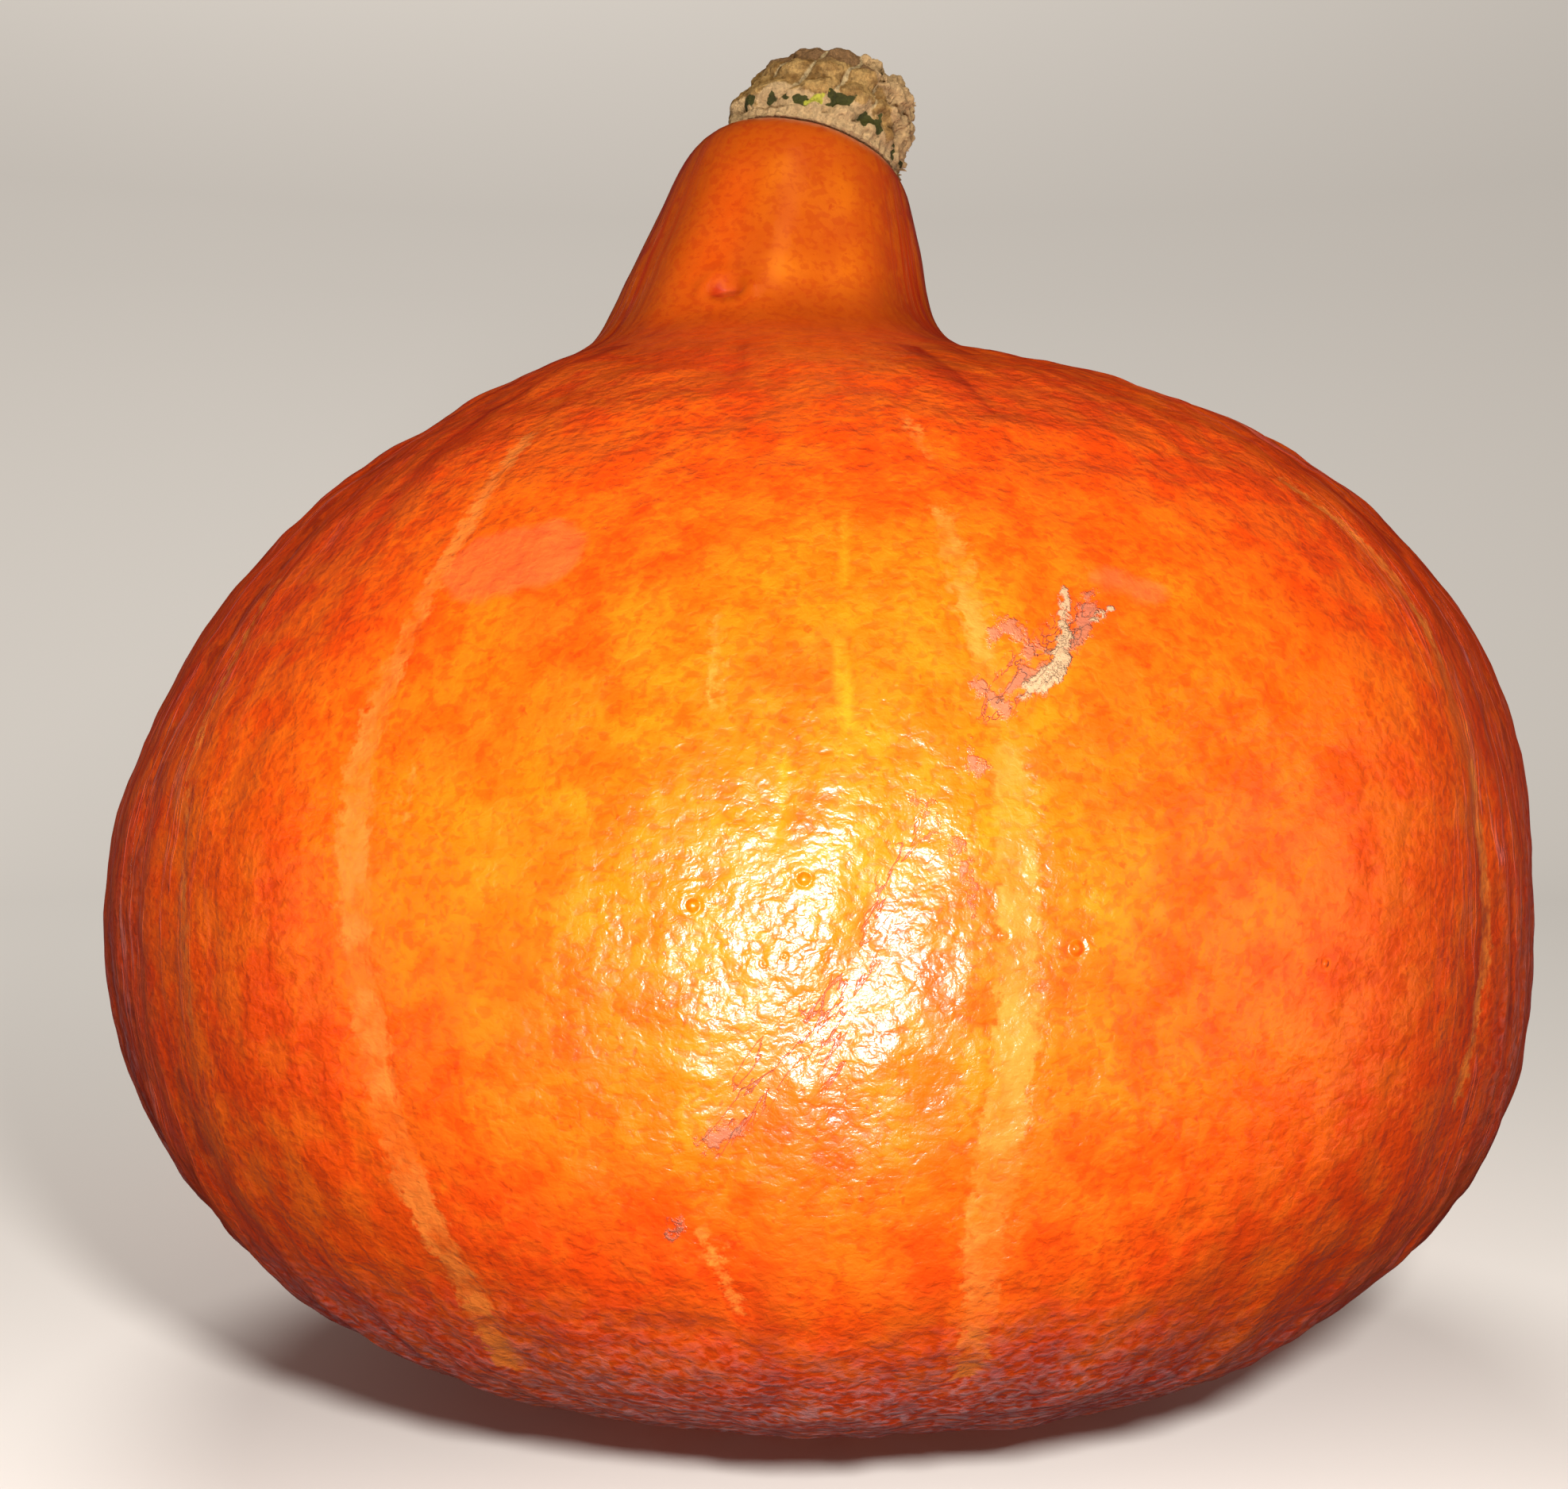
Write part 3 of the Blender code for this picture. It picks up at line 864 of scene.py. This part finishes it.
    def layers(self, skin: SkinPlaces, from_dent: np.ndarray) -> dict[str, np.ndarray]:
        """Where the skin gets painted front light, neck tint, furrows and painted shade, rim, dust and
        painted sheen, and leather, from 0 to 1.

        Args:
            skin: Places and grown patterns of the skin's points.
            from_dent: Distance from the middle of the neck's dimple.

        Returns:
            One value for each point, by the name that the material reads.
        """
        turn, height, top, neck = skin.turn, skin.height, skin.top, skin.neck
        # Painted light: yellower towards the front, where the key light falls.
        front_light = np.exp(-((turn - 0.05) / 0.8) ** 2) * np.exp(-((height - 72.0) / 40.0) ** 2)
        patch = 0.5 + 0.5 * grown_noise(skin.mm / 30.0 + 60.0, 2)
        # Painted highlight: a streak down the front of the neck.
        streak = np.exp(-((turn + 0.02) / 0.2) ** 2) + 0.5 * np.exp(-((turn - 0.42) / 0.16) ** 2)
        streak = streak * np.clip(0.3 + 1.5 * skin.lumps, 0.0, 1.0) * ease(top - 24.0, top - 18.0, height)
        # Painted sheen: a paler band up the neck's left front.
        pale = np.exp(-((turn + 0.42) / 0.2) ** 2) * ease(top - 28.0, top - 14.0, height)
        tinted = neck * ease(top - 31.0, top - 21.0, height)
        edge = ease(0.7, 1.25, np.abs(turn)) * (1.0 - 0.75 * skin.behind)
        # Painted shade: the furrows' redder pigment, deepened towards the limbs, low rim, shoulder and neck
        # sides, in the neck's crease and in the dimple.
        hollow = np.clip(0.25 - 1.1 * skin.furrows - 0.6 * skin.threads, 0.0, 1.0)
        hollow *= 0.25 + 0.9 * skin.side + 0.4 * skin.low_rim + 0.5 * skin.shoulder
        hollow *= 1.0 - 0.85 * neck
        crease = np.exp(-((height - (top - 29.5)) / 3.6) ** 2) * ease(50.0, 34.0, skin.radius)
        hollow += 0.62 * edge * (1.0 - 0.6 * neck) + 0.9 * neck * ease(0.4, 1.3, np.abs(turn + 0.1))
        hollow += crease * np.clip(0.65 + 2.4 * skin.folds, 0.0, 1.0) + 0.35 * skin.low_rim
        hollow += 1.4 * ease(2.1, 1.0, from_dent)
        # Painted sheen along the low limbs and the low rim, over patches of wax bloom.
        limb = ease(0.9, 1.2, np.abs(turn)) * (1.0 - ease(1.6, 2.2, np.abs(turn))) * ease(84.0, 40.0, height)
        limb *= np.clip(0.35 + 1.4 * skin.threads, 0.0, 1.0)
        dust_and_sheen = np.maximum(ease(30.0, 9.0, height + 9.0 * patch - 4.5), limb)
        leather = 0.19 + 0.04 * skin.front + 0.08 * skin.shoulder + 0.14 * skin.low_rim
        return {
            "front_light_tone": np.clip(0.9 * front_light + 0.5 * patch - 0.15, 0.0, 1.0),
            "neck": tinted * (1.0 - 0.35 * pale * ease(top - 1.0, top - 7.0, height)),
            "glow": np.clip(neck * 0.8 * streak, 0.0, 1.0),
            "hollow": np.clip(hollow, 0.0, 1.0),
            "rim": edge * (1.0 - 0.7 * neck),
            "dust_and_sheen": dust_and_sheen * (1.0 - skin.foot),
            "leather": leather * (1.0 - 0.8 * neck),
        }


@dataclass(frozen=True)
class DryStemCork:
    """Dead, dried squash stem: ribbed bark over corky fibre.

    Drying split the bark into olive-brown panels with pale cork between them. It has
    no wax, so it is dull, and its broken end is a pale brush of torn fibres.
    """

    bark: str = "7c5626"
    bark_light: str = "bb9254"
    crust: str = "85603a"       # weathered grey-brown at the top
    seam: str = "bda172"        # pale cork between the panels
    collar: str = "c09c6c"      # corky ring on the seat
    mould: str = "444217"       # dark patches over the ring
    # Small yellow-green spot on the bark.
    yellow_green: str = "b0a838"
    fibre: str = "c09a68"
    roughness: float = 0.82
    ior: float = 1.5
    grain_mm: float = 0.5
    cloud_mm: float = 2.6
    bump_mm: float = 0.45

    def make(self) -> bpy.types.Material:
        """Build the stem's material.

        Returns:
            The material.
        """
        material = bpy.data.materials.new("dry_squash_stem")
        material.use_nodes = True
        tree = material.node_tree
        add = partial(add_node, tree)
        shader = tree.nodes["Principled BSDF"]
        shader.inputs["IOR"].default_value = self.ior
        shader.inputs["Roughness"].default_value = self.roughness
        spot = add("TexCoord", {}, "Object")
        look = {"Vector": spot, "Detail": 4.0}
        grain = add("TexNoise", {"Scale": 1.0 / (self.grain_mm * MM), "Roughness": 0.7, **look}, "Fac")
        cloud = add("TexNoise", {"Scale": 1.0 / (self.cloud_mm * MM), "Roughness": 0.65, **look}, "Fac")
        limits = {"Value": cloud, "From Min": 0.35, "From Max": 0.65}
        tone = add("MapRange", limits, interpolation_type="SMOOTHSTEP")
        colour = add("Mix", {0: tone, 6: linear(self.bark), 7: linear(self.bark_light)}, 2, data_type="RGBA")
        for name, tint, pattern, bite in (
            ("crust", self.crust, cloud, 0.8), ("seam", self.seam, grain, 0.5),
            ("collar", self.collar, grain, 0.5), ("torn", self.fibre, cloud, 0.6),
            ("mould", self.mould, grain, 0.9), ("yellow_green", self.yellow_green, grain, 0.8),
        ):
            mask = ragged(tree, name, pattern, bite, 0.38, 0.62)
            colour = add("Mix", {0: mask, 6: colour, 7: linear(tint)}, 2, data_type="RGBA")
        limits = {"Value": grain, "From Min": 0.3, "From Max": 0.7, "To Min": 0.55, "To Max": 1.3}
        colour = add("VectorMath", {0: colour, "Scale": add("MapRange", limits)}, operation="SCALE")
        height = add("Math", {0: cloud, 1: 0.6, 2: grain}, operation="MULTIPLY_ADD")
        bump = add("Bump", {"Strength": 1.0, "Distance": self.bump_mm * MM, "Height": height})
        tree.links.new(colour, shader.inputs["Base Color"])
        tree.links.new(bump, shader.inputs["Normal"])
        return material


@dataclass
class StemStub:
    """The dry stem stub: corky collar, ribbed bark, and a torn, fibrous broken end."""

    node: str = "stem"
    base_radius: float = 11.6    # millimetres, like every size below
    height: float = 12.7
    round_height: float = 13.3
    fullness: float = 3.3
    lean: float = 2.4
    ribs: int = 13
    rib_depth: float = 1.4
    block_depth: float = 0.4     # of the blocks that the ribs cracked into
    twist: float = 0.3           # radians that the ribs wind from base to top
    collar_top: float = 1.7
    groove_depth: float = 0.35
    groove_width: float = 0.45
    flutes: int = 52             # fine ridges round the collar
    levels: int = 120
    around: int = 300
    fibres: int = 90
    fibre_sides: int = 5
    seed: int = 14
    break_way: Triple = (0.80, 0.10, 0.60)
    break_reach: float = 10.6
    sunk: float = 0.2
    side_part: float = 0.72      # share of the rings that go up the side; the rest go in over the top
    # Dark patches: degrees round from the front, height, half width and half height.
    patches: tuple[tuple[float, float, float, float], ...] = (
        (-47.0, 2.5, 1.3, 0.8), (-24.0, 2.9, 1.1, 0.4), (-9.0, 2.6, 0.6, 0.3), (15.0, 3.4, 1.3, 0.65),
        (41.0, 2.7, 1.4, 0.9), (68.0, 2.2, 1.0, 0.5), (104.0, 2.6, 1.5, 0.6), (139.0, 3.1, 1.2, 0.6),
        (172.0, 2.4, 1.5, 0.5), (-81.0, 2.6, 1.1, 0.6), (-113.0, 3.0, 1.2, 0.5), (-146.0, 2.5, 1.2, 0.7),
    )
    # A small yellow-green spot: degrees, height, half width and half height.
    yellow_green_patch: tuple[float, float, float, float] = (1.0, 3.0, 0.5, 0.45)
    finish: DryStemCork = field(default_factory=DryStemCork)

    def frame_at(self, seat: Vector, pole: Vector) -> tuple[np.ndarray, np.ndarray]:
        """Centre and axes of the stub on its seat.

        Args:
            seat: Centre of the seat.
            pole: The seat's normal.

        Returns:
            The base point in metres, and rows of side, back and up directions.
        """
        side = Vector((1.0, 0.0, 0.0))
        side = (side - pole * side.dot(pole)).normalized()
        back = pole.cross(side)
        return np.array(seat - pole * self.sunk * MM), np.array([side, back, pole])

    def surface(self) -> tuple[np.ndarray, dict[str, np.ndarray]]:
        """Shape of the stub in its own frame, and its layers.

        Returns:
            Rings of side, back, up points in millimetres, and a value per point for
            every layer that the material reads.
        """
        turns = np.linspace(0.0, 2.0 * math.pi, self.around, endpoint=False)
        # Sides first, then in over the broken end to the middle.
        share = np.linspace(0.0, 1.0, self.levels)
        rim = self.height * 0.98
        up = np.where(share < self.side_part, rim * share / self.side_part, rim)
        inward = np.clip((share - self.side_part) / (1.0 - self.side_part), 0.0, 0.985)
        wall = (1.0 - np.clip(up / self.round_height, 0.0, 1.0) ** self.fullness) ** (1.0 / self.fullness)
        up_grid, turn_grid = np.meshgrid(up, turns, indexing="ij")
        wall_grid = np.repeat((wall * (1.0 - inward))[:, None], self.around, axis=1)
        # The ribs wander a little and leave the collar as a ragged ring below them.
        wander = grown_noise(np.column_stack([
            np.cos(turn_grid).ravel() * 1.6, np.sin(turn_grid).ravel() * 1.6, up_grid.ravel() * 0.18
        ]), 2).reshape(up_grid.shape)
        wind = turn_grid - self.twist * up_grid / self.height + 0.22 * wander
        collar = ease(self.collar_top, 1.0, up_grid)
        rib_wave = np.abs(np.sin(0.5 * self.ribs * wind + 0.4)) ** 0.5
        rib_wave = np.clip(rib_wave + 0.2 * wander, 0.0, 1.1)
        radius = self.base_radius * wall_grid
        radius = radius + (1.0 - collar) * (rib_wave - 0.75) * self.rib_depth * wall_grid
        flutes = np.sin(self.flutes * turn_grid + 3.0 * wander)
        radius = radius + collar * (0.3 * wander - 0.1 + 0.16 * flutes)
        # Drying cracked the ribs into blocks, one above the other, over a groove.
        steps = np.sin(up_grid * 1.7 + 2.0 * wander + 0.9 * np.cos(3.0 * wind))
        radius = radius + self.block_depth * steps * (1.0 - collar) * wall_grid
        groove = np.exp(-((up_grid - self.collar_top) / self.groove_width) ** 2)
        radius = radius - self.groove_depth * groove
        shift = self.lean * (up_grid / self.height) ** 1.4
        across = radius * np.cos(turn_grid) + shift
        along = radius * np.sin(turn_grid)
        crown = rim + 0.9 * (1.0 - (1.0 - inward[:, None]) ** 2) * np.ones_like(turn_grid)
        tall = np.where(inward[:, None] > 0.0, crown, up_grid)
        points = np.stack([across, along, tall], axis=2)

        # The broken end is torn away past a slanting plane.
        flat = points.reshape(-1, 3)
        rough = grown_noise(flat / 1.6 + 11.0, 3).reshape(up_grid.shape)
        coarse = grown_noise(flat / 4.0 + 31.0, 2).reshape(up_grid.shape)
        way = np.array(self.break_way)
        way = way / np.linalg.norm(way)
        past = points @ way - self.break_reach
        torn = ease(-1.6, 0.6, past + 1.2 * coarse)
        torn = np.maximum(torn, ease(0.35, 0.6, inward)[:, None] * ease(-4.0, 2.0, across))
        normals = ring_normals(points)
        push = 0.42 * rough * (1.0 - 0.3 * collar) + torn * (0.5 * rough + 0.6 * coarse - 0.2)
        push = push + 0.3 * coarse * ease(0.6, 1.0, up_grid / rim)
        points = points + normals * push[:, :, None]
        points[:, :, 2] = np.maximum(points[:, :, 2], 0.0)

        # Pale seams lie between the ribs and the blocks, and pale papery cork round the base.
        valley = 1.0 - np.clip(rib_wave, 0.0, 1.0)
        fine = np.abs(np.sin(self.ribs * wind + 1.1 + 0.5 * coarse))
        seam = np.maximum(ease(0.34, 0.66, valley), 0.8 * ease(0.22, 0.05, fine) * ease(-0.2, 0.3, rough))
        seam = seam * (1.0 - collar)
        paper = np.maximum(collar, 0.75 * ease(4.6, 2.6, up_grid + 1.8 * coarse + 0.8 * rough - 1.4 * valley))
        crust = ease(0.55, 0.95, up_grid / rim + 0.15 * coarse)
        bitten = 1.1 * rough + 0.5 * coarse
        mould = np.max([self.patch(spot, turn_grid, up_grid, bitten) for spot in self.patches], axis=0)
        yellow_green = self.patch(self.yellow_green_patch, turn_grid, up_grid, bitten)
        layers = {
            "seam": seam * 0.62, "crust": crust, "collar": paper, "torn": torn, "mould": mould, "yellow_green": yellow_green,
        }
        return points, {name: layer.reshape(-1) for name, layer in layers.items()}

    def patch(
        self, spot: tuple[float, float, float, float], turn: np.ndarray, up: np.ndarray, bitten: np.ndarray
    ) -> np.ndarray:
        """One ragged patch on the bark.

        Args:
            spot: Degrees round from the front, height, half width and half height.
            turn: Angle of each point from the right side, in radians.
            up: Height of each point.
            bitten: How much is bitten off the patch's edge at each point.

        Returns:
            Values that are 1 in the patch and 0 outside it.
        """
        degrees, level, half_wide, half_high = spot
        off = np.angle(np.exp(1j * (turn - math.radians(degrees - 90.0)))) * self.base_radius
        block = np.maximum(np.abs(off) - half_wide, np.abs(up - level) - half_high)
        return ease(0.4, -0.3, block + bitten)

    def build(self, seat: Vector, pole: Vector) -> list[bpy.types.Object]:
        """Build the stub and its torn fibres on the seat.

        Args:
            seat: Centre of the seat.
            pole: The seat's normal.

        Returns:
            The stub's meshes.
        """
        base, axes = self.frame_at(seat, pole)
        local, layers = self.surface()
        rings = base + (local * MM) @ axes
        stub = mesh_from_rings("stem_stub", rings)
        for name, layer in layers.items():
            store(stub, name, layer)
        material = self.finish.make()
        stub.data.materials.append(material)
        fibres = self.tear(local, layers["torn"], base, axes)
        fibres.data.materials.append(material)
        for piece in (stub, fibres):
            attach(piece, "root")
        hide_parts(self.node)
        LOG.info("stem: %d faces, %d fibres", len(stub.data.polygons), self.fibres)
        return [stub, fibres]

    def tear(
        self, local: np.ndarray, torn: np.ndarray, base: np.ndarray, axes: np.ndarray
    ) -> bpy.types.Object:
        """Torn fibres standing out of the broken end, as one mesh of thin tapered hairs.

        Args:
            local: Rings of the stub in its own frame, in millimetres.
            torn: How torn each point is.
            base: The stub's base point in metres.
            axes: Rows of side, back and up directions.

        Returns:
            The fibres' mesh.
        """
        draw = np.random.default_rng(self.seed)
        flat = local.reshape(-1, 3)
        normals = ring_normals(local).reshape(-1, 3)
        open_ends = np.flatnonzero((torn > 0.6) & (flat[:, 2] > 1.5))
        roots = draw.choice(open_ends, self.fibres, replace=False)
        build = bmesh.new()
        for root in roots:
            length = draw.uniform(0.35, 1.0)
            width = draw.uniform(0.14, 0.32)
            lean = normals[root] + draw.normal(0.0, 0.45, 3) + np.array([0.25, 0.0, 0.35])
            lean = lean / np.linalg.norm(lean)
            bend = np.cross(lean, draw.normal(0.0, 1.0, 3))
            bend = bend / np.linalg.norm(bend)
            other = np.cross(lean, bend)
            circles = []
            for step, taper in ((-0.3, 1.0), (0.3, 0.85), (0.7, 0.55), (1.0, 0.12)):
                centre = flat[root] + lean * length * step + bend * 0.25 * length * step * step
                circle = []
                for corner in range(self.fibre_sides):
                    turn = 2.0 * math.pi * corner / self.fibre_sides
                    spot = centre + (bend * math.cos(turn) + other * math.sin(turn)) * width * taper
                    circle.append(build.verts.new(tuple(base + (spot * MM) @ axes)))
                circles.append(circle)
            for lower, upper in zip(circles, circles[1:]):
                for corner in range(self.fibre_sides):
                    after = (corner + 1) % self.fibre_sides
                    build.faces.new((lower[corner], lower[after], upper[after], upper[corner]))
            build.faces.new(list(reversed(circles[0])))
            build.faces.new(circles[-1])
        bmesh.ops.recalc_face_normals(build, faces=build.faces[:])
        mesh = bpy.data.meshes.new("stem_fibres")
        build.to_mesh(mesh)
        build.free()
        piece = place("stem_fibres", mesh)
        layer = mesh.attributes.new("torn", "FLOAT", "POINT")
        layer.data.foreach_set("value", np.ones(len(mesh.vertices), dtype=np.float32))
        return piece


@dataclass(frozen=True)
class PaintedBoard:
    """Matt off-white painted board, rolled flat: it scatters light evenly and hardly shines."""

    colour: str = "e9e2d9"
    roughness: float = 0.8
    specular: float = 0.2

    def make(self) -> bpy.types.Material:
        """Build the board's material.

        Returns:
            The material.
        """
        material = bpy.data.materials.new("matt_painted_board")
        material.use_nodes = True
        shader = material.node_tree.nodes["Principled BSDF"]
        shader.inputs["Base Color"].default_value = linear(self.colour)
        shader.inputs["Roughness"].default_value = self.roughness
        shader.inputs["Specular IOR Level"].default_value = self.specular
        return material


@dataclass
class Studio:
    """Plain pale bowl of a studio, its soft lights and the camera."""

    floor_reach: float = 0.75
    floor_steps: int = 6
    cove: float = 0.45
    cove_steps: int = 12
    wall_top: float = 1.5
    round_steps: int = 96
    camera_rise: float = 5.0          # degrees above the belly
    camera_away: float = 0.2608
    camera_pitch: float = -0.66
    camera_yaw: float = 0.93
    lens: float = 45.57
    key_place: Triple = (0.0, -0.195, 0.058)
    key_size: float = 0.03
    key_watts: float = 0.124
    key_lift: float = 15.0            # degrees that the key looks up, to spare the underside
    key_spread: float = 100.0
    fill_place: Triple = (0.05, -0.36, 0.46)
    fill_size: float = 0.25           # the two side lights are as large
    fill_watts: float = 1.75
    side_place: Triple = (0.38, -0.18, 0.05)
    side_watts: float = 0.34
    back_place: Triple = (-0.02, 0.26, 0.08)
    back_watts: float = 0.45
    floor_place: Triple = (0.04, -0.265, 0.13)
    floor_aim: Triple = (0.0, 0.1, 0.0)
    floor_watts: float = 1.25
    wall_place: Triple = (-0.25, 0.5, 1.4)
    wall_aim: Triple = (0.0, 0.8, 0.0)
    wall_size: float = 0.8
    wall_watts: float = 12.0
    sky: str = "efe9e2"
    sky_strength: float = 0.25
    board: PaintedBoard = field(default_factory=PaintedBoard)

    def build_floor(self) -> bpy.types.Object:
        """Turn the floor and its cove into one round sweep.

        Returns:
            The floor's mesh.
        """
        profile = [(self.floor_reach * i / self.floor_steps, 0.0) for i in range(1, self.floor_steps + 1)]
        for step in range(1, self.cove_steps + 1):
            turn = math.pi / 2.0 * step / self.cove_steps
            profile.append((
                self.floor_reach + self.cove * math.sin(turn), self.cove * (1.0 - math.cos(turn))
            ))
        profile.append((self.floor_reach + self.cove, self.wall_top))
        build = bmesh.new()
        turns = [2.0 * math.pi * i / self.round_steps for i in range(self.round_steps)]
        rings = [
            [build.verts.new((radius * math.cos(turn), radius * math.sin(turn), height)) for turn in turns]
            for radius, height in profile
        ]
        middle = build.verts.new((0.0, 0.0, 0.0))
        for i in range(self.round_steps):
            j = (i + 1) % self.round_steps
            build.faces.new((middle, rings[0][i], rings[0][j]))
            for lower, upper in zip(rings, rings[1:]):
                build.faces.new((lower[i], upper[i], upper[j], lower[j]))
        mesh = bpy.data.meshes.new("studio_floor")
        build.to_mesh(mesh)
        build.free()
        floor = place("studio_floor", mesh)
        mesh.materials.append(self.board.make())
        floor.visible_glossy = False
        floor.visible_diffuse = False
        return floor

    def add_light(
        self, name: str, stand: Triple, aim: Vector, size: float, watts: float
    ) -> bpy.types.Object:
        """Add one soft round light.

        Args:
            name: Name of the light.
            stand: Where it stands.
            aim: The point it faces.
            size: Its diameter.
            watts: Its power.

        Returns:
            The light's object.
        """
        data = bpy.data.lights.new(name, "AREA")
        data.shape = "DISK"
        data.size = size
        data.energy = watts
        lamp = place(name, data)
        lamp.location = stand
        lamp.rotation_euler = (aim - Vector(stand)).to_track_quat("-Z", "Y").to_euler()
        lamp.visible_camera = False
        return lamp

    def light_only(self, lamps: list[bpy.types.Object], pieces: list[bpy.types.Object]) -> None:
        """Shield every other surface from some lights, as a flag on a stand would.

        Args:
            lamps: The lights to shield.
            pieces: The surfaces that they still light.
        """
        group = bpy.data.collections.new("lit_by_" + lamps[0].name)
        for piece in pieces:
            group.objects.link(piece)
        for lamp in lamps:
            lamp.light_linking.receiver_collection = group

    def build(self, belly: float, squash: list[bpy.types.Object]) -> None:
        """Set up the floor, lights, sky and camera.

        Args:
            belly: Height of the fruit's widest ring.
            squash: The squash's own pieces.
        """
        floor = self.build_floor()
        middle = Vector((0.0, 0.0, belly))
        key = self.add_light("key_light", self.key_place, middle, self.key_size, self.key_watts)
        aim_up = Vector((0.0, math.cos(math.radians(self.key_lift)), math.sin(math.radians(self.key_lift))))
        key.rotation_euler = aim_up.to_track_quat("-Z", "Y").to_euler()
        key.data.spread = math.radians(self.key_spread)
        back = self.add_light("back_light", self.back_place, middle, 2.0 * self.key_size, self.back_watts)
        fill = self.add_light("fill_light", self.fill_place, middle, self.fill_size, self.fill_watts)
        right = self.add_light("right_light", self.side_place, middle, self.fill_size, self.side_watts)
        across = (-self.side_place[0], *self.side_place[1:])
        left = self.add_light("left_light", across, middle, self.fill_size, self.side_watts)
        for lamp in (fill, right, left):
            lamp.visible_glossy = False
        near = self.add_light(
            "floor_light", self.floor_place, Vector(self.floor_aim), self.key_size, self.floor_watts
        )
        wall = self.add_light(
            "wall_light", self.wall_place, Vector(self.wall_aim), self.wall_size, self.wall_watts
        )
        self.light_only([key, back, fill, right, left], squash)
        self.light_only([near, wall], [floor])
        world = bpy.data.worlds.new("studio_sky")
        world.use_nodes = True
        glow = world.node_tree.nodes["Background"].inputs
        glow["Color"].default_value = linear(self.sky)
        glow["Strength"].default_value = self.sky_strength
        world.cycles_visibility.glossy = False
        bpy.context.scene.world = world
        data = bpy.data.cameras.new("camera")
        data.lens = self.lens
        data.clip_start = 0.01
        camera = place("camera", data)
        rise = math.radians(self.camera_rise)
        camera.location = middle + Vector((0.0, -math.cos(rise), math.sin(rise))) * self.camera_away
        camera.rotation_euler = (math.radians(90.0 + self.camera_pitch), 0.0, math.radians(self.camera_yaw))
        bpy.context.scene.camera = camera
        bpy.context.scene.view_settings.view_transform = "Standard"


def main() -> None:
    """Build the squash and the studio."""
    logging.basicConfig(level=logging.INFO, format="%(name)s: %(message)s")
    rind = RindMap("fruit")
    fruit = Fruit()
    skin = fruit.build(rind)
    seat, pole = fruit.seat(rind)
    stub = StemStub().build(seat, pole)
    Studio().build(rind.belly, [skin, *stub])


if __name__ == "__main__":
    main()
